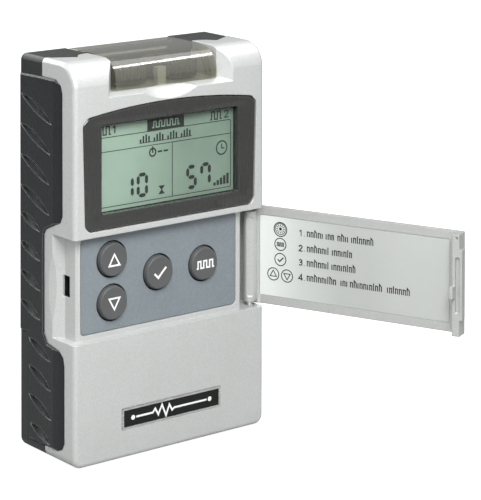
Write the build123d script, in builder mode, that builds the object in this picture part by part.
from build123d import *
import os
from math import cos, sin, radians

# A hand-held two-channel battery unit: a screen, four keys behind a door that stands
# open, two dials under a lid, two output sockets and a belt clip on the back.
# Millimetres.  Z is up, the front faces -Y, left is -X and the base is at Z = 0.
# Depths are counted backwards from the front face; y() turns a depth into a Y.

os.makedirs("parts", exist_ok=True)

# ------------------------------------------------------- shared dimensions
case_width, case_depth, case_height = 61.8, 24.5, 102.0
seam_top_d, seam_base_d = 14.2, 12.9  # depth of the front/rear seam at top and base
edge_r = 1.2                          # outer edges of the front shell
rear_edge_r = edge_r - 0.25           # rear edges of the rear shell and battery cover
foot_r = 2.5                          # base corners seen from the front
wall_x = 27.0                         # inner face of the side walls
floor_z = 2.2                         # inner face of the base wall
bay_roof_z = 30.2                     # roof of the battery bay
cover_d, cover_z = 20.4, 30.2         # front and top limits of the battery cover

# Door hinge at the right of the keypad recess
hinge_x, hinge_d = 28.85, 3.5
pin_r, pin_gap = 0.8, 0.05
pin_z0, pin_z1 = 29.6, 59.6           # bottom of the lower pin, top of the upper pin

# Screen surround, in (x, z); an arc over the top closes the outline
screen_outline = [(-26.6, 88.25), (-28.25, 86.6), (-27.6, 60.9), (-26.2, 59.3),
                  (26.2, 59.3), (27.6, 60.9), (28.25, 86.6), (26.6, 88.25)]
screen_crown = (0, 90.25)
screen_corner_r = 1.8
pocket_d = 2.6                        # depth of the screen pocket

# Keypad: recess depth, key panel centre and key centres in (x, z)
recess_d = 2.3
panel_centre = (-2.15, 45.1)
key_hole_r = 4.8
keys = {"button_up": (-17.6, 51.0), "button_down": (-17.6, 39.9),
        "button_set": (-2.9, 45.4), "button_mode": (11.9, 45.4)}

# Dial well, dials and lid
well_x, well_floor_z = 17.2, 93.6
dial_x, dial_d = 8.4, 12.2
shaft_r = 1.5
shaft_hole_r = shaft_r + 0.06
lid_hinge_d, lid_hinge_z = 22.4, 100.4
lid_pin_r = 0.7

# Screw centres in (x, z)
lower_screws = [(-25.0, 34.6), (25.0, 34.6)]
upper_screws = [(-25.0, 88.6), (25.0, 88.6)]
screws = lower_screws + upper_screws
boss_r = 2.4

jack_x, jack_z, jack_r = 23.5, 95.8, 3.0
rail_z0, rail_z1 = 62.0, 80.0         # belt clip rails on the back
board_back_d = 11.35                  # front of the round parts behind the board
channels = (("ch1", -1), ("ch2", 1))


# ----------------------------------------------------------------- helpers
def y(depth):
    """Y of a point at a depth behind the front face."""
    return depth - case_depth / 2


def profile(points):
    """Turn (depth, z) points into the local points of a side plane."""
    return [(y(depth), z) for depth, z in points]


def block(x0, x1, depth0, depth1, z0, z1, mode=Mode.ADD):
    """A box given by its limits."""
    with Locations(((x0 + x1) / 2, y((depth0 + depth1) / 2), (z0 + z1) / 2)):
        Box(x1 - x0, depth1 - depth0, z1 - z0, mode=mode)


def cut_blocks(table):
    for limits in table:
        block(*limits, mode=Mode.SUBTRACT)


def front_plane(depth):
    """Sketch plane facing the front; a negative extrude goes backwards."""
    return Plane(origin=(0, y(depth), 0), x_dir=(1, 0, 0), z_dir=(0, -1, 0))


def side_plane(x):
    """Sketch plane across the case: local x is Y, local y is Z."""
    return Plane(origin=(x, 0, 0), x_dir=(0, 1, 0), z_dir=(1, 0, 0))


def foot_edges(builder):
    """Front-to-back edges at the base."""
    return builder.edges().filter_by(Axis.Y).group_by(Axis.Z)[0]


def save(builder, name):
    builder.part.label = name
    export_step(builder.part, "parts/" + name + ".step")


def save_blocks(name, *table):
    """Build and save a piece made only of blocks."""
    with BuildPart() as piece:
        for limits in table:
            block(*limits)
    save(piece, name)


hinge_spot = (hinge_x, y(hinge_d))             # on a level plane
lid_hinge_spot = (y(lid_hinge_d), lid_hinge_z)  # on a side plane
dial_spots = [(side * dial_x, y(dial_d)) for _, side in channels]

# ------------------------------------------------------------------- grips
# Outline of a side grip in (depth, z)
grip_outline = [(24.0, 97.0), (14.4, 97.3), (8.2, 97.3), (6.0, 96.1), (5.3, 94.2),
                (5.2, 63.1), (6.1, 61.3), (9.0, 60.1), (12.3, 58.6), (13.2, 57.2),
                (13.2, 32.0), (11.5, 29.5), (6.6, 28.7), (4.9, 27.3), (4.4, 25.2),
                (4.4, 5.6), (5.3, 3.9), (7.2, 3.1), (20.2, 3.0),
                (20.2, 30.4), (24.0, 30.4)]
grip_in, grip_out = 29.3, 31.3        # inner and outer faces, from the middle of the case

# Section of the slope along the front edge, in (fall from the outer face, depth);
# negative falls lie outside the grip
bevel_drop, bevel_back, bevel_front = 1.05, 8.8, 4.4
bevel_section = [(0, bevel_back), (0.32, bevel_back - 2.0), (bevel_drop, bevel_front),
                 (bevel_drop + 0.3, bevel_front - 0.5), (-2, bevel_front - 0.5),
                 (-2, bevel_back)]

# Leaf grooves: rear and front ends in (depth, z)
groove_ends = [((23.8, 92.1), (9.3, 85.6)), ((24.1, 84.4), (10.0, 77.9)),
               ((24.1, 76.4), (10.5, 70.2)), ((24.1, 68.5), (10.5, 62.4)),
               ((24.1, 61.1), (14.5, 57.5)), ((24.1, 53.6), (14.5, 50.0)),
               ((24.1, 46.2), (14.5, 42.3)), ((24.1, 38.5), (14.5, 34.8)),
               ((20.3, 29.4), (10.1, 25.1)), ((20.3, 22.3), (9.9, 17.6)),
               ((20.3, 14.9), (9.6, 10.2)), ((19.6, 7.5), (10.1, 3.9))]
# Groove mouth and bottom: distance from the middle of the case, end inset as a share
# of the length, and heights of the upper and lower arcs above the line between the ends
groove_levels = [(grip_out + 0.02, 0.0, 1.55, -1.0),
                 (grip_out - 0.85, 0.13, 1.2, 0.25)]


def build_grip(name, side):
    with BuildPart() as grip:
        with BuildSketch(side_plane(side * grip_in)):
            with BuildLine():
                Polyline(profile(grip_outline), close=True)
            make_face()
        extrude(amount=side * (grip_out - grip_in))
        outer = grip.faces().sort_by(Axis.X)[0 if side < 0 else -1]
        chamfer(outer.edges(), length=0.4)
        # long slope along the front edge
        with BuildSketch(Plane.XY):
            with BuildLine():
                Polyline([(side * (grip_out - fall), y(depth))
                          for fall, depth in bevel_section], close=True)
            make_face()
        extrude(amount=case_height, mode=Mode.SUBTRACT)
        # slanted grooves with a steep upper bank and a long lower bank
        for (rear_d, rear_z), (front_d, front_z) in groove_ends:
            rear = Vector(y(rear_d) - 0.4, rear_z - 0.2)
            front = Vector(y(front_d), front_z)
            run = front - rear
            upward = Vector(run.Y, -run.X).normalized()
            for level, inset, upper_rise, lower_rise in groove_levels:
                start = rear + run * inset
                end = front - run * inset
                upper = rear + run * 0.52 + upward * upper_rise
                lower = rear + run * 0.48 + upward * lower_rise
                with BuildSketch(side_plane(side * level)):
                    with BuildLine():
                        ThreePointArc((start.X, start.Y), (upper.X, upper.Y), (end.X, end.Y))
                        ThreePointArc((end.X, end.Y), (lower.X, lower.Y), (start.X, start.Y))
                    make_face()
            loft(mode=Mode.SUBTRACT)
    save(grip, name)


def make_grip_pockets():
    """Tool for the pockets that hold the grips, with a little clearance."""
    with BuildPart() as pockets:
        for side in (-1, 1):
            with BuildSketch(side_plane(side * grip_in)):
                with BuildLine():
                    Polyline(profile(grip_outline), close=True)
                make_face()
                offset(amount=0.08, kind=Kind.INTERSECTION, mode=Mode.REPLACE)
            extrude(amount=side * 3.0)
    return pockets.part


# ----------------------------------------------------------- corner tongues
# Plan of the rear shell's tongue over the right top corner, in (x, depth)
tongue_plan = [(28.7, 15.5), (28.7, 13.4), (25.9, 12.0), (22.8, 10.2),
               (21.0, 12.6), (18.6, 13.6), (17.0, 13.6), (17.0, 15.5)]
tongue_z = 99.6


def make_tongues(gap=0.0, overshoot=0.0):
    """Both tongues, grown by a gap and run past the top when used as a cutting tool."""
    with BuildPart() as tongues:
        for side in (-1, 1):
            with BuildSketch(Plane.XY.offset(tongue_z - gap)):
                with BuildLine():
                    Polyline([(side * x, y(depth)) for x, depth in tongue_plan[::side]],
                             close=True)
                make_face()
                if gap:
                    offset(amount=gap, kind=Kind.INTERSECTION, mode=Mode.REPLACE)
            extrude(amount=case_height - tongue_z + overshoot)
    return tongues.part


# -------------------------------------------------------------- front shell
recess_z0, recess_z1 = 31.4, 57.8     # keypad recess below the screen
lip_floor_x = -28.5                   # floor of the finger recess on the left side
lip_crease_d = 7.3                    # depth where that floor turns outwards
lip_back_d = 9.8
cavity_x = 24.5                       # left edge of the hinge cavity

# Hollows, as (x0, x1, depth0, depth1, z0, z1); they run back past the seam
front_hollows = [
    (-wall_x, wall_x, 2.2, 20, floor_z, bay_roof_z),  # battery bay
    (-wall_x, 22.8, 4.5, 20, 31.8, 59.6),             # behind the keys
    (22.7, wall_x, 9.2, 20, 31.8, 59.6),              # behind the hinge cavity
    (-wall_x, wall_x, 3.8, 20, 59.5, 91.6),           # behind the screen
    (19.2, wall_x, 8.0, 20, 91.0, 98.9),              # right of the dial well
    (-wall_x, -19.2, 8.0, 20, 91.0, 98.9),            # left of the dial well
    (17.0, 21.4, 11.0, 20, 29.5, 33.0),               # wire passage
]


def well_plan(back_d):
    """Plan of the dial well, flared towards the front."""
    right = [(20.6, y(-3)), (20.6, y(-0.4)), (well_x, y(3.4)), (well_x, y(back_d))]
    return [(-x, y_) for x, y_ in reversed(right)] + right


def make_side_scoop():
    """Tool for the shallow dish behind the finger recess."""
    dish_z = 44.5
    with BuildPart() as scoop:
        with Locations((-case_width / 2 - 72.4, y(-15.1), dish_z)):
            Sphere(77.05)
        with Locations((-case_width / 2 - 1.0, y(9.6), dish_z)):
            Box(8.0, 4.9, 26.0, mode=Mode.INTERSECT)
    return scoop.part


def make_shelf_slope():
    """Tool that makes the well floor fall away towards the front."""
    with BuildPart() as slope:
        with BuildSketch(side_plane(-22)):
            with BuildLine():
                Polyline(profile([(2.7, well_floor_z), (-3, well_floor_z - 1.75),
                                  (-3, 96), (2.7, 96)]), close=True)
            make_face()
        extrude(amount=44)
        with BuildSketch(Plane.XY.offset(90)):
            with BuildLine():
                Polyline(well_plan(4), close=True)
            make_face()
        extrude(amount=8, mode=Mode.INTERSECT)
    return slope.part


def build_front_shell(grip_pockets):
    brow_z, brow_d = 96.2, 6.4        # ends of the curve over the top front edge
    boss_front_d = 3.0
    side_scoop = make_side_scoop()
    shelf_slope = make_shelf_slope()
    tongue_clearance = make_tongues(gap=0.08, overshoot=3)

    with BuildPart() as shell:
        with BuildSketch(side_plane(-case_width / 2)):
            with BuildLine():
                Polyline(profile([(0, brow_z), (0, 0), (seam_base_d, 0),
                                  (seam_top_d, case_height), (brow_d, case_height)]))
                ThreePointArc(*profile([(brow_d, case_height), (1.75, 100.0), (0, brow_z)]))
            make_face()
        extrude(amount=case_width)
        fillet(foot_edges(shell), radius=foot_r)
        # side edges ahead of the seam, without the rounded foot corners
        rim = [e for e in shell.edges()
               if abs(abs(e.center().X) - case_width / 2) < 0.8
               and e.center().Y < y(seam_base_d) - 1.0
               and not (abs(e.center().Z) < 2.6 and abs(e.center().Y - y(0)) > 0.1)]
        front_base = [e for e in shell.edges().filter_by(Axis.X)
                      if abs(e.center().Z) < 0.1 and abs(e.center().Y - y(0)) < 0.1]
        fillet(rim + front_base, radius=edge_r)

        cut_blocks(front_hollows)

        # screw bosses
        for spots, back_d in ((lower_screws, 12.9), (upper_screws, 13.6)):
            with BuildSketch(front_plane(boss_front_d)):
                with Locations(*spots):
                    Circle(boss_r)
            extrude(amount=-(back_d - boss_front_d))
        # trim everything back to the seam
        with BuildSketch(side_plane(-case_width)):
            with BuildLine():
                Polyline(profile([(seam_base_d, -1), (seam_base_d + 20, -1),
                                  (seam_base_d + 20, case_height + 1),
                                  (seam_top_d, case_height + 1), (seam_top_d, case_height),
                                  (seam_base_d, 0)]), close=True)
            make_face()
        extrude(amount=2 * case_width, mode=Mode.SUBTRACT)
        # screw holes
        with BuildSketch(front_plane(7.5)):
            with Locations(*screws):
                Circle(1.1)
        extrude(amount=-12, mode=Mode.SUBTRACT)

        # keypad recess, finger recess and hinge cavity
        with BuildSketch(Plane.XY.offset(recess_z0)):
            with BuildLine():
                Polyline([(-case_width, y(-3)), (cavity_x, y(-3)), (cavity_x, y(recess_d)),
                          (lip_floor_x + 0.8, y(recess_d)), (lip_floor_x, y(recess_d + 0.8)),
                          (lip_floor_x, y(lip_crease_d)),
                          (-case_width / 2 - 0.1, y(lip_back_d)),
                          (-case_width, y(lip_back_d))], close=True)
            make_face()
            with Locations((cavity_x + 5, y(1.25))):
                Rectangle(10, 8.5)
            with Locations(hinge_spot):
                Circle(4.15)
        extrude(amount=recess_z1 - recess_z0, mode=Mode.SUBTRACT)
        add(side_scoop, mode=Mode.SUBTRACT)
        # slot for the latch tongue
        block(lip_floor_x - 0.5, lip_floor_x + 1.8, 5.4, 7.8, 42.2, 47.5, mode=Mode.SUBTRACT)
        # key panel pocket and key holes
        with BuildSketch(front_plane(recess_d)):
            with Locations(panel_centre):
                RectangleRounded(50.5, 24.7, 1.3)
        extrude(amount=-1.1, mode=Mode.SUBTRACT)
        with BuildSketch(front_plane(0)):
            with Locations(*keys.values()):
                Circle(key_hole_r + 0.05)
        extrude(amount=-6, mode=Mode.SUBTRACT)
        # bore for the door pins
        with BuildSketch(Plane.XY.offset(pin_z0)):
            with Locations(hinge_spot):
                Circle(pin_r)
        extrude(amount=pin_z1 - pin_z0, mode=Mode.SUBTRACT)

        # screen pocket and the window through the shell
        with BuildSketch(front_plane(0)) as screen_hole:
            with BuildLine():
                Polyline(screen_outline)
                ThreePointArc(screen_outline[-1], screen_crown, screen_outline[0])
            make_face()
            fillet(screen_hole.vertices(), radius=screen_corner_r)
            offset(amount=0.05, kind=Kind.INTERSECTION)
        extrude(amount=-pocket_d, mode=Mode.SUBTRACT)
        block(-23.7, 23.7, 0, 6, 61.8, 86.2, mode=Mode.SUBTRACT)

        # dial well, its sloping shelf and the thumb scoop
        with BuildSketch(Plane.XY.offset(well_floor_z)):
            with BuildLine():
                Polyline(well_plan(20), close=True)
            make_face()
        extrude(amount=12, mode=Mode.SUBTRACT)
        add(shelf_slope, mode=Mode.SUBTRACT)
        with Locations((-0.4, y(-14.2), 109.2)):
            Sphere(23.4, mode=Mode.SUBTRACT)
        # shaft holes, then the post in the middle of the well
        with BuildSketch(Plane.XY.offset(90)):
            with Locations(*dial_spots):
                Circle(shaft_hole_r)
        extrude(amount=6, mode=Mode.SUBTRACT)
        block(-1.35, 1.35, 4.4, 6.3, well_floor_z - 0.5, 98.0)

        add(tongue_clearance, mode=Mode.SUBTRACT)
        add(grip_pockets, mode=Mode.SUBTRACT)
        # name plate recess
        block(-16.1, 16.1, -1, 0.3, 7.3, 12.8, mode=Mode.SUBTRACT)
    save(shell, "front_shell")


# --------------------------------------------------------------- rear shell
# Hollows, as (x0, x1, depth0, depth1, z0, z1)
rear_hollows = [
    (-wall_x, wall_x, 10, 22.3, floor_z, bay_roof_z),  # battery bay
    (-wall_x, wall_x, 10, 22.3, 31.8, 91.6),           # electronics
    (19.2, wall_x, 10, 22.3, 91.0, 99.0),              # right of the dial well
    (-wall_x, -19.2, 10, 22.3, 91.0, 99.0),            # left of the dial well
]


def build_rear_shell(grip_pockets):
    seam_gap = 0.02
    well_back_d, well_sill_z = 22.6, 98.5
    rail_x, rail_lip_d, rail_back_d = 9.1, 26.4, 27.6
    rail_root_d = case_depth - 0.3
    tongues = make_tongues()

    with BuildPart() as shell:
        with BuildSketch(side_plane(-case_width / 2)):
            with BuildLine():
                Polyline([(y(seam_base_d) + seam_gap, 0), (y(case_depth), 0),
                          (y(case_depth), case_height),
                          (y(seam_top_d) + seam_gap, case_height)], close=True)
            make_face()
        extrude(amount=case_width)
        fillet(foot_edges(shell), radius=foot_r)
        crown = shell.edges().filter_by(Axis.Y).group_by(Axis.Z)[-1]
        fillet(crown, radius=edge_r + 0.5)
        rim = [e for e in shell.edges() if e.center().Y > y(case_depth) - 0.01]
        fillet(rim, radius=rear_edge_r)
        add(tongues)

        cut_blocks(rear_hollows)
        # screw posts
        with BuildSketch(front_plane(14.3)):
            with Locations(*screws):
                Circle(boss_r)
        extrude(amount=-8.2)
        cut_blocks([
            (-case_width, case_width, cover_d, case_depth + 2, -2, cover_z),  # bay opening
            (17.0, 21.4, 10, 17.0, 29.5, 33.0),                               # wire passage
        ])
        # dial well, open at the rear above its sill
        with BuildSketch(side_plane(-well_x)):
            with BuildLine():
                Polyline(profile([(5, well_floor_z), (well_back_d, well_floor_z),
                                  (well_back_d, well_sill_z), (case_depth + 2, well_sill_z),
                                  (case_depth + 2, case_height + 2), (5, case_height + 2)]),
                         close=True)
            make_face()
        extrude(amount=2 * well_x, mode=Mode.SUBTRACT)
        # bore for the lid hinge pin
        with BuildSketch(side_plane(-18.8)):
            with Locations(lid_hinge_spot):
                Circle(lid_pin_r)
        extrude(amount=37.6, mode=Mode.SUBTRACT)
        # screw holes with sunk heads
        for start_d, radius, length in ((10, 1.2, 16), (23.4, 2.15, 3)):
            with BuildSketch(front_plane(start_d)):
                with Locations(*screws):
                    Circle(radius)
            extrude(amount=-length, mode=Mode.SUBTRACT)
        # socket holes
        with BuildSketch(front_plane(10)):
            with Locations((-jack_x, jack_z), (jack_x, jack_z)):
                Circle(jack_r)
        extrude(amount=-16, mode=Mode.SUBTRACT)
        # belt clip rails: a web and an inward lip on each side, with a stop below
        for side in (-1, 1):
            for inner_x, front_d, back_d in ((7.1, rail_root_d, rail_lip_d),
                                             (5.9, rail_lip_d, rail_back_d)):
                x0, x1 = sorted((side * inner_x, side * rail_x))
                block(x0, x1, front_d, back_d, rail_z0, rail_z1)
        block(-rail_x, rail_x, rail_root_d, rail_back_d, rail_z0 - 1.8, rail_z0)
        add(grip_pockets, mode=Mode.SUBTRACT)
    save(shell, "rear_shell")


def build_battery_cover():
    gap = 0.1
    line_pitch = 1.8
    with BuildPart() as cover:
        with BuildSketch(side_plane(-case_width / 2)):
            with BuildLine():
                Polyline([(y(cover_d) + gap, 0), (y(case_depth), 0),
                          (y(case_depth), cover_z - gap), (y(cover_d) + gap, cover_z - gap)],
                         close=True)
            make_face()
        extrude(amount=case_width)
        fillet(foot_edges(cover), radius=foot_r)
        rim = [e for e in cover.edges()
               if e.center().Y > y(case_depth) - 0.05 and e.center().Z < cover_z - 1]
        fillet(rim, radius=rear_edge_r)
        block(-28.6, 28.6, 10, 22.6, floor_z, cover_z + 1, mode=Mode.SUBTRACT)
        # grip lines for the thumb
        for k in range(5):
            block(-9, 9, case_depth - 0.4, case_depth + 1,
                  22.0 - line_pitch * k, 22.9 - line_pitch * k, mode=Mode.SUBTRACT)
    save(cover, "battery_cover")


# ------------------------------------------------------------------- screen
def build_lcd_bezel():
    front_d = 0.1
    opening_z0, opening_z1 = 63.2, 85.9
    opening = (2 * 22.2, opening_z1 - opening_z0, 0.6)  # width, height, corner radius
    centre = (0, (opening_z0 + opening_z1) / 2)
    with BuildPart() as bezel:
        with BuildSketch(front_plane(front_d)) as surround:
            with BuildLine():
                Polyline(screen_outline)
                ThreePointArc(screen_outline[-1], screen_crown, screen_outline[0])
            make_face()
            fillet(surround.vertices(), radius=screen_corner_r)
        extrude(amount=-(pocket_d - front_d))
        # shallow dish round the opening, then straight walls down to the glass
        with BuildSketch(front_plane(0.05)):
            with Locations(centre):
                RectangleRounded(52.2, 25.6, 1.8)
        with BuildSketch(front_plane(0.38)):
            with Locations(centre):
                RectangleRounded(*opening)
        loft(mode=Mode.SUBTRACT)
        with BuildSketch(front_plane(0)):
            with Locations(centre):
                RectangleRounded(*opening)
        extrude(amount=-3, mode=Mode.SUBTRACT)
        # rebate for the window
        with BuildSketch(front_plane(2.0)):
            with Locations((0, 74.43)):
                Rectangle(46.8, 24.26)
        extrude(amount=-2, mode=Mode.SUBTRACT)
        front = bezel.faces().sort_by(Axis.Y)[0]
        fillet(front.outer_wire().edges(), radius=0.8)
    save(bezel, "lcd_bezel")


def build_lcd_frame():
    with BuildPart() as frame:
        block(-23.2, 23.2, 4.85, 9.65, 63.6, 83.9)
        block(-21.2, 21.2, 6.2, 10, 65.4, 82.1, mode=Mode.SUBTRACT)
    save(frame, "lcd_frame")


# --------------------------------------------------------------------- keys
def build_key_panel():
    with BuildPart() as panel:
        with BuildSketch(front_plane(recess_d + 0.08)):
            with Locations(panel_centre):
                RectangleRounded(50.1, 24.3, 1.1)
            with Locations(*keys.values()):
                Circle(key_hole_r, mode=Mode.SUBTRACT)
        extrude(amount=-1.0)
    save(panel, "key_panel")


def build_button(name, x, z):
    dish_r = 40.0
    # flange, stem and tapered cap: start depth, radius, extrusion and taper in degrees
    stages = [(4.6, 5.5, -1.0, 0), (4.7, 4.4, 2.3, 0), (2.4, 4.4, 1.1, 12)]
    with BuildPart() as button:
        for start_d, radius, length, slope in stages:
            with BuildSketch(front_plane(start_d)):
                with Locations((x, z)):
                    Circle(radius)
            extrude(amount=length, taper=slope)
        cap = button.faces().sort_by(Axis.Y)[0]
        fillet(cap.edges(), radius=0.35)
        # shallow dished face
        with Locations((x, y(1.3) - 39.8, z)):
            Sphere(dish_r, mode=Mode.SUBTRACT)
    save(button, name)


def build_name_plate_frame():
    with BuildPart() as frame:
        with BuildSketch(front_plane(-0.05)):
            with Locations((0, 10.05)):
                RectangleRounded(32.1, 5.4, 0.4)
                Rectangle(30.9, 4.3, mode=Mode.SUBTRACT)
        extrude(amount=-0.34)
    save(frame, "name_plate_frame")


# --------------------------------------------------------------------- door
# The door is drawn shut about its hinge axis: u runs to the right along the door and
# v backwards, both from the axis.  The door planes turn it open.
door_open = 113.6                     # degrees
door_turn = radians(door_open)
door_z0, door_z1 = 31.55, 57.65
door_mid_z = 44.6
plate_outer_v = -hinge_d
plate_inner_v = 1.1 - hinge_d         # the plate is 1.1 thick
lip_outer_u, lip_inner_u = -31.0 - hinge_x, -29.0 - hinge_x
lip_v = 4.4 - hinge_d                 # rear end of the lip
heel_u = 1.65                         # right edge of the plate
barrel_r = 1.65
barrel_z0, barrel_z1 = 32.5, 56.7
label_u, label_v = -28.95, plate_inner_v - 0.1   # middle and floor of the label field

# Outlines in (u, v)
plate_outline = [(lip_outer_u, plate_outer_v), (heel_u, plate_outer_v),
                 (heel_u, plate_inner_v + 0.4), (-1.4, plate_inner_v + 0.4),
                 (-2.2, plate_inner_v), (lip_inner_u, plate_inner_v),
                 (lip_inner_u, lip_v), (lip_outer_u, lip_v)]
web_outline = [(-1.3, 0), (-1.3, plate_inner_v - 0.2),
               (heel_u, plate_inner_v - 0.2), (heel_u, 0)]
tab_outline = [(lip_outer_u + 0.2, plate_outer_v + 0.9),
               (lip_outer_u - 0.25, plate_outer_v + 1.1), (lip_outer_u - 0.7, lip_v - 0.6),
               (lip_outer_u - 0.7, lip_v), (lip_outer_u + 0.2, lip_v)]
latch_outline = [(lip_inner_u - 0.85, lip_v - 0.1), (lip_inner_u, lip_v - 0.1),
                 (lip_inner_u, 5.2 - hinge_d), (lip_inner_u + 0.36, 5.5 - hinge_d),
                 (lip_inner_u + 0.36, 5.8 - hinge_d), (lip_inner_u, 6.05 - hinge_d),
                 (lip_inner_u - 0.85, 6.05 - hinge_d)]


def door_plane(z):
    """Level plane with local axes u and v."""
    return Plane(origin=(*hinge_spot, z), x_dir=(cos(door_turn), sin(door_turn), 0),
                 z_dir=(0, 0, 1))


def door_face(v):
    """Plane facing the door's inner side: local x is -u, local y is Z."""
    inward = (-sin(door_turn), cos(door_turn), 0)
    return Plane(origin=(hinge_x + v * inward[0], y(hinge_d) + v * inward[1], 0),
                 x_dir=(-cos(door_turn), -sin(door_turn), 0), z_dir=inward)


def door_corner(builder, u, v):
    """Upright edges of the door at (u, v)."""
    corner = door_plane(0).from_local_coords(Vector(u, v, 0))
    return [e for e in builder.edges().filter_by(Axis.Z)
            if (Vector(e.center().X, e.center().Y, 0) - corner).length < 0.05]


def build_keypad_door():
    with BuildPart() as door:
        # plate with the lip, full height
        with BuildSketch(door_plane(door_z0)):
            with BuildLine():
                Polyline(plate_outline, close=True)
            make_face()
        extrude(amount=door_z1 - door_z0)
        fillet(door_corner(door, heel_u, plate_outer_v), radius=1.2)
        fillet(door_corner(door, lip_outer_u, plate_outer_v), radius=0.7)
        # hinge web and barrel
        with BuildSketch(door_plane(barrel_z0)):
            with BuildLine():
                Polyline(web_outline, close=True)
            make_face()
            Circle(barrel_r)
        extrude(amount=barrel_z1 - barrel_z0)
        # rounded trough in the barrel, 30 degrees round from the v direction
        trough_turn = radians(door_open + 90 + 30)
        trough = Plane(origin=(*hinge_spot, 0),
                       x_dir=(-sin(trough_turn), cos(trough_turn), 0),
                       z_dir=(cos(trough_turn), sin(trough_turn), 0)).offset(barrel_r - 0.42)
        with BuildSketch(trough):
            with Locations((0.1, door_mid_z)):
                RectangleRounded(1.9, 21.4, 0.9)
        extrude(amount=2.0, mode=Mode.SUBTRACT)
        # bores for the pins
        for z0, z1 in ((barrel_z0 - 1, 36.4), (53.0, barrel_z1 + 1)):
            with BuildSketch(door_plane(z0)):
                Circle(pin_r + pin_gap)
            extrude(amount=z1 - z0, mode=Mode.SUBTRACT)
        # thumb tab on the lip
        with BuildSketch(door_plane(35.7)):
            with BuildLine():
                Polyline(tab_outline, close=True)
            make_face()
        extrude(amount=17.9)
        # slot and small round hole in the end of the lip
        with BuildSketch(door_face(lip_v)):
            with Locations((-(lip_outer_u + 0.55), door_mid_z)):
                RectangleRounded(1.2, 14.4, 0.55)
            with Locations((-(lip_outer_u + 0.7), 56.6)):
                Circle(0.32)
        extrude(amount=-0.6, mode=Mode.SUBTRACT)
        # latch tongue with its tooth
        with BuildSketch(door_plane(41.3)):
            with BuildLine():
                Polyline(latch_outline, close=True)
            make_face()
        extrude(amount=3.2)
        # sunk field for the label
        with BuildSketch(door_face(label_v)):
            with Locations((-label_u, door_mid_z)):
                RectangleRounded(54.2, 21.5, 0.4)
        extrude(amount=1.0, mode=Mode.SUBTRACT)
    save(door, "keypad_door")


def build_door_label():
    with BuildPart() as label:
        with BuildSketch(door_face(label_v)):
            with Locations((-label_u, door_mid_z)):
                RectangleRounded(54.0, 21.3, 0.35)
        extrude(amount=0.12)
    save(label, "door_label")


def build_door_hinge_pins():
    with BuildPart() as pins:
        for z0, z1 in ((pin_z0, 36.2), (53.2, pin_z1)):
            with BuildSketch(Plane.XY.offset(z0)):
                with Locations(hinge_spot):
                    Circle(pin_r)
            extrude(amount=z1 - z0)
    save(pins, "door_hinge_pins")


# ---------------------------------------------------------------- dial lid
# Curves and cheek in (depth, z)
lid_x = 16.4
lid_under_z = case_height - 1.1
flat_front_d = 13                     # front end of the flat part of the lid
lid_outer_upper = [(flat_front_d, case_height), (8.5, 101.75), (4.9, 100.85)]
lid_outer_lower = [(4.9, 100.85), (2.75, 98.4), (2.1, 94.1)]
lid_inner_lower = [(3.2, 94.1), (3.75, 97.9), (5.6, 99.8)]
lid_inner_upper = [(5.6, 99.8), (8.7, 100.62), (flat_front_d, lid_under_z)]
cheek_outline = [(2.6, 94.1), (2.9, 97.6), (5.0, 100.3), (9.5, 101.3),
                 (9.5, 100.4), (7.4, 98.2), (5.6, 94.1)]


def build_dial_cover():
    with BuildPart() as cover:
        with BuildSketch(side_plane(-lid_x)):
            with BuildLine():
                Polyline(profile([(lid_hinge_d, case_height), (flat_front_d, case_height)]))
                Spline(profile(lid_outer_upper), tangents=[(-1, 0), (-1, -0.45)])
                Spline(profile(lid_outer_lower), tangents=[(-0.8, -0.6), (0, -1)])
                Line(*profile([lid_outer_lower[-1], lid_inner_lower[0]]))
                Spline(profile(lid_inner_lower), tangents=[(0, 1), (0.8, 0.6)])
                Spline(profile(lid_inner_upper), tangents=[(1, 0.4), (1, 0)])
                Polyline(profile([(flat_front_d, lid_under_z), (lid_hinge_d, lid_under_z),
                                  (lid_hinge_d, case_height)]))
            make_face()
            with Locations(lid_hinge_spot):
                Circle(1.6)
        extrude(amount=2 * lid_x)
        # side cheeks at the front of the lid
        for side in (-1, 1):
            with BuildSketch(side_plane(side * lid_x)):
                with BuildLine():
                    Polyline(profile(cheek_outline), close=True)
                make_face()
            extrude(amount=-side * 1.1)
        # hinge bore
        with BuildSketch(side_plane(-lid_x - 1)):
            with Locations(lid_hinge_spot):
                Circle(0.76)
        extrude(amount=2 * lid_x + 2, mode=Mode.SUBTRACT)
    save(cover, "dial_cover")


def build_lid_hinge_pin():
    half_length = 18.7
    with BuildPart() as pin:
        with BuildSketch(side_plane(-half_length)):
            with Locations(lid_hinge_spot):
                Circle(lid_pin_r)
        extrude(amount=2 * half_length)
    save(pin, "lid_hinge_pin")


# --------------------------------------------------- pieces of each channel
def build_dial(channel, side):
    radius, bottom_z, top_z = 7.4, 94.4, 98.6
    centre = (side * dial_x, y(dial_d))
    with BuildPart() as dial:
        with BuildSketch(Plane.XY.offset(bottom_z)):
            with Locations(centre):
                Circle(radius)
        extrude(amount=top_z - bottom_z)
        fillet(dial.edges().group_by(Axis.Z)[-1], radius=0.5)
        # flutes round the rim and the shaft hole
        with BuildSketch(Plane.XY.offset(bottom_z - 1)):
            with Locations(centre):
                with PolarLocations(radius + 0.12, 40):
                    Circle(0.38)
                Circle(shaft_r)
        extrude(amount=8, mode=Mode.SUBTRACT)
        # sunk top with a raised hub
        with BuildSketch(Plane.XY.offset(top_z - 0.8)):
            with Locations(centre):
                Circle(5.6)
                Circle(2.8, mode=Mode.SUBTRACT)
        extrude(amount=2, mode=Mode.SUBTRACT)
    save(dial, "dial_" + channel)


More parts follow.
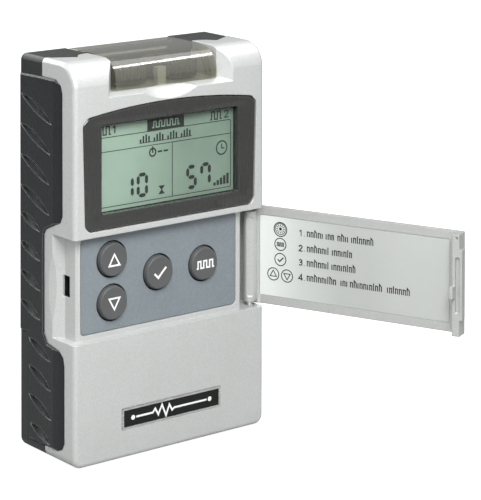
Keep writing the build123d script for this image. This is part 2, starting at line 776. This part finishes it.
def build_pot_shaft(channel, side):
    x = side * dial_x
    bottom_z, top_z = 86.0, 98.3
    with BuildPart() as shaft:
        with BuildSketch(Plane.XY.offset(bottom_z)):
            with Locations((x, y(dial_d))):
                Circle(shaft_r)
        extrude(amount=top_z - bottom_z)
        # slot across the top
        block(x - 2, x + 2, dial_d - 0.3, dial_d + 0.3, 97.7, 99.0, mode=Mode.SUBTRACT)
    save(shaft, "pot_shaft_" + channel)


def build_potentiometer(channel, side):
    x = side * dial_x
    with BuildPart() as pot:
        block(x - 5, x + 5, dial_d - 5, dial_d + 5, 84.6, 91.4)
        with BuildSketch(Plane.XY.offset(85.6)):
            with Locations((x, y(dial_d))):
                Circle(shaft_hole_r)
        extrude(amount=8, mode=Mode.SUBTRACT)
        # solder legs
        for leg in (-3, 0, 3):
            block(x + leg - 0.4, x + leg + 0.4, dial_d - 0.7, dial_d - 0.4, 82.4, 84.8)
    save(pot, "potentiometer_" + channel)


def build_output_jack(channel, side):
    front_d, back_d = 12.8, 24.4
    bore_r, bore_length = 1.2, 11.0
    with BuildPart() as jack:
        with BuildSketch(front_plane(front_d)):
            with Locations((side * jack_x, jack_z)):
                Circle(jack_r)
        extrude(amount=-(back_d - front_d))
        with BuildSketch(front_plane(back_d - bore_length)):
            with Locations((side * jack_x, jack_z)):
                Circle(bore_r)
        extrude(amount=-bore_length - 1, mode=Mode.SUBTRACT)
    save(jack, "output_jack_" + channel)


def build_transformer(channel, side):
    x = side * 13.5
    x0, x1 = x - 6.5, x + 6.5
    with BuildPart() as transformer:
        block(x0, x1, board_back_d, 13.0, 66, 77)  # front plate
        block(x0, x1, 13.0, 20.5, 68, 75)          # core
        # round winding
        with BuildSketch(front_plane(13.0)):
            with Locations((x, 71.5)):
                Circle(4.6)
        extrude(amount=-7.0)
        block(x0, x1, 20.0, 21.0, 66.5, 76.5)      # rear plate
    save(transformer, "transformer_" + channel)


# ------------------------------------------------------------- electronics
def build_tact_switches():
    with BuildPart() as switches:
        for x, z in keys.values():
            block(x - 3, x + 3, 6.9, 9.68, z - 3, z + 3)
            with BuildSketch(front_plane(7.0)):
                with Locations((x, z)):
                    Circle(1.7)
            extrude(amount=0.8)
    save(switches, "tact_switches")


def build_chips():
    back_d = 12.9
    # x, z, width, height
    table = [(0, 46, 12, 12), (-14, 60, 8, 6), (14, 60, 8, 6), (0, 60, 7, 5)]
    with BuildPart() as chips:
        for x, z, width, height in table:
            block(x - width / 2, x + width / 2, 11.4, back_d, z - height / 2, z + height / 2)
            # rear edges of this chip
            chamfer(chips.edges().filter_by(
                lambda e: abs(e.center().Y - y(back_d)) < 1e-4
                and abs(e.center().X - x) <= width / 2 + 0.01
                and abs(e.center().Z - z) <= height / 2 + 0.01), length=0.2)
    save(chips, "chips")


def build_capacitors():
    with BuildPart() as capacitors:
        for x, z, radius in ((-11, 39.5, 2.5), (10.5, 38.5, 2.5), (0, 76.5, 3.0)):
            with BuildSketch(front_plane(board_back_d)):
                with Locations((x, z)):
                    Circle(radius)
            extrude(amount=-6.5)
    save(capacitors, "capacitors")


def build_buzzer():
    centre = (-17.5, 48.5)
    with BuildPart() as buzzer:
        with BuildSketch(front_plane(board_back_d)):
            with Locations(centre):
                Circle(5.0)
        extrude(amount=-3.4)
        with BuildSketch(front_plane(13.9)):
            with Locations(centre):
                Circle(0.8)
        extrude(amount=-2, mode=Mode.SUBTRACT)
    save(buzzer, "buzzer")


# ------------------------------------------------------------------ battery
battery_d0, battery_d1, battery_z0, battery_z1 = 3.4, 20.9, 2.5, 28.8
battery_right_x = 22.2
battery_mid_d = (battery_d0 + battery_d1) / 2
battery_mid_z = (battery_z0 + battery_z1) / 2


def build_battery():
    with BuildPart() as battery:
        block(-24.2, battery_right_x, battery_d0, battery_d1, battery_z0, battery_z1)
        fillet(battery.edges().filter_by(Axis.X), radius=1.4)
        # round and six-sided terminals on the right end
        with BuildSketch(side_plane(battery_right_x)):
            with Locations((y(battery_mid_d), battery_mid_z - 6.3)):
                Circle(2.9)
            with Locations((y(battery_mid_d), battery_mid_z + 6.3)):
                RegularPolygon(3.6, 6)
        extrude(amount=2.1)
    save(battery, "battery_9v")


def build_battery_snap():
    with BuildPart() as snap:
        block(24.35, 25.9, battery_mid_d - 6.0, battery_mid_d + 6.0,
              battery_mid_z - 11.5, battery_mid_z + 10.5)
        fillet(snap.edges().filter_by(Axis.X), radius=1.5)
    save(snap, "battery_snap")


def build_battery_lead(name, depth, x):
    """A wire from the snap, through the passage at x and up to the board."""
    snap_x, passage_z, board_z = 25.1, 29.5, 41.0
    with BuildPart() as lead:
        with BuildLine() as run:
            FilletPolyline([(snap_x, y(depth), battery_mid_z + 10.55),
                            (snap_x, y(depth), passage_z), (x, y(depth), passage_z),
                            (x, y(depth), board_z), (x, y(11.33), board_z)], radius=0.9)
        with BuildSketch(Plane(origin=run.line @ 0, z_dir=run.line % 0)):
            Circle(0.55)
        sweep()
    save(lead, name)


# ---------------------------------------------------- screws and belt clip
def build_case_screws():
    shank_front_d, shank_back_d, shank_r = 7.6, 23.4, 1.09
    # shank, head and the short neck that joins them: start depth, radius, length
    stages = [(shank_front_d, shank_r, shank_back_d - shank_front_d),
              (23.41, 2.0, 0.85), (23.39, shank_r, 0.2)]
    with BuildPart() as case_screws:
        for start_d, radius, length in stages:
            with BuildSketch(front_plane(start_d)):
                with Locations(*screws):
                    Circle(radius)
            extrude(amount=-length)
        # cross slots
        with BuildSketch(front_plane(23.7)):
            with Locations(*screws):
                Rectangle(2.4, 0.5)
                Rectangle(0.5, 2.4)
        extrude(amount=-2, mode=Mode.SUBTRACT)
    save(case_screws, "case_screws")


def build_belt_clip():
    half_width = 8.0
    # section of the arm in (depth, z), with a hook at its lower end
    arm_outline = [(29.4, 37.2), (29.4, rail_z1 + 1.2), (30.2, rail_z1 + 2.0),
                   (31.2, rail_z1 + 1.2), (31.2, 36.0), (30.6, 33.4),
                   (28.2, 33.8), (27.6, 35.0), (28.4, 36.4)]
    with BuildPart() as clip:
        block(-6.95, 6.95, case_depth + 0.12, 26.25, rail_z0 + 0.3, rail_z1)  # slide
        block(-5.7, 5.7, 26.2, 30.0, 73.5, rail_z1)                           # neck
        with BuildSketch(side_plane(-half_width)):
            with BuildLine():
                Polyline(profile(arm_outline), close=True)
            make_face()
        extrude(amount=2 * half_width)
        rear_sides = [e for e in clip.edges().filter_by(Axis.Z) if e.center().Y > y(31.1)]
        fillet(rear_sides, radius=0.8)
    save(clip, "belt_clip")


# --------------------------------------------------------- build the pieces
pocket_tool = make_grip_pockets()
build_grip("left_grip", -1)
build_grip("right_grip", 1)
build_front_shell(pocket_tool)
build_rear_shell(pocket_tool)
build_battery_cover()

build_lcd_bezel()
build_lcd_frame()
save_blocks("lcd_window", (-23.35, 23.35, 2.02, 2.58, 62.35, 86.5))
save_blocks("lcd_panel", (-23.6, 23.6, 2.62, 3.7, 61.9, 86.1),
            (-23.0, 23.0, 3.7, 4.8, 63.4, 85.0))
save_blocks("lcd_connector_strip", (-20.5, 20.5, 3.72, 9.68, 61.9, 63.3))

build_key_panel()
for key_name, (key_x, key_z) in keys.items():
    build_button(key_name, key_x, key_z)
save_blocks("name_plate", (-15.4, 15.4, 0.06, 0.3, 7.95, 12.15))
build_name_plate_frame()

build_keypad_door()
build_door_label()
build_door_hinge_pins()
build_dial_cover()
build_lid_hinge_pin()

for build_piece in (build_dial, build_pot_shaft, build_potentiometer,
                    build_output_jack, build_transformer):
    for channel_name, channel_side in channels:
        build_piece(channel_name, channel_side)

save_blocks("main_board", (-25.5, 25.5, 9.7, 11.3, 38.0, 84.0),
            (-20.8, 20.8, 9.7, 11.3, 33.0, 38.5))
build_tact_switches()
build_chips()
build_capacitors()
build_buzzer()

build_battery()
build_battery_snap()
build_battery_lead("battery_lead_pos", 12.6, 19.9)
build_battery_lead("battery_lead_neg", 14.8, 18.3)
build_case_screws()
build_belt_clip()
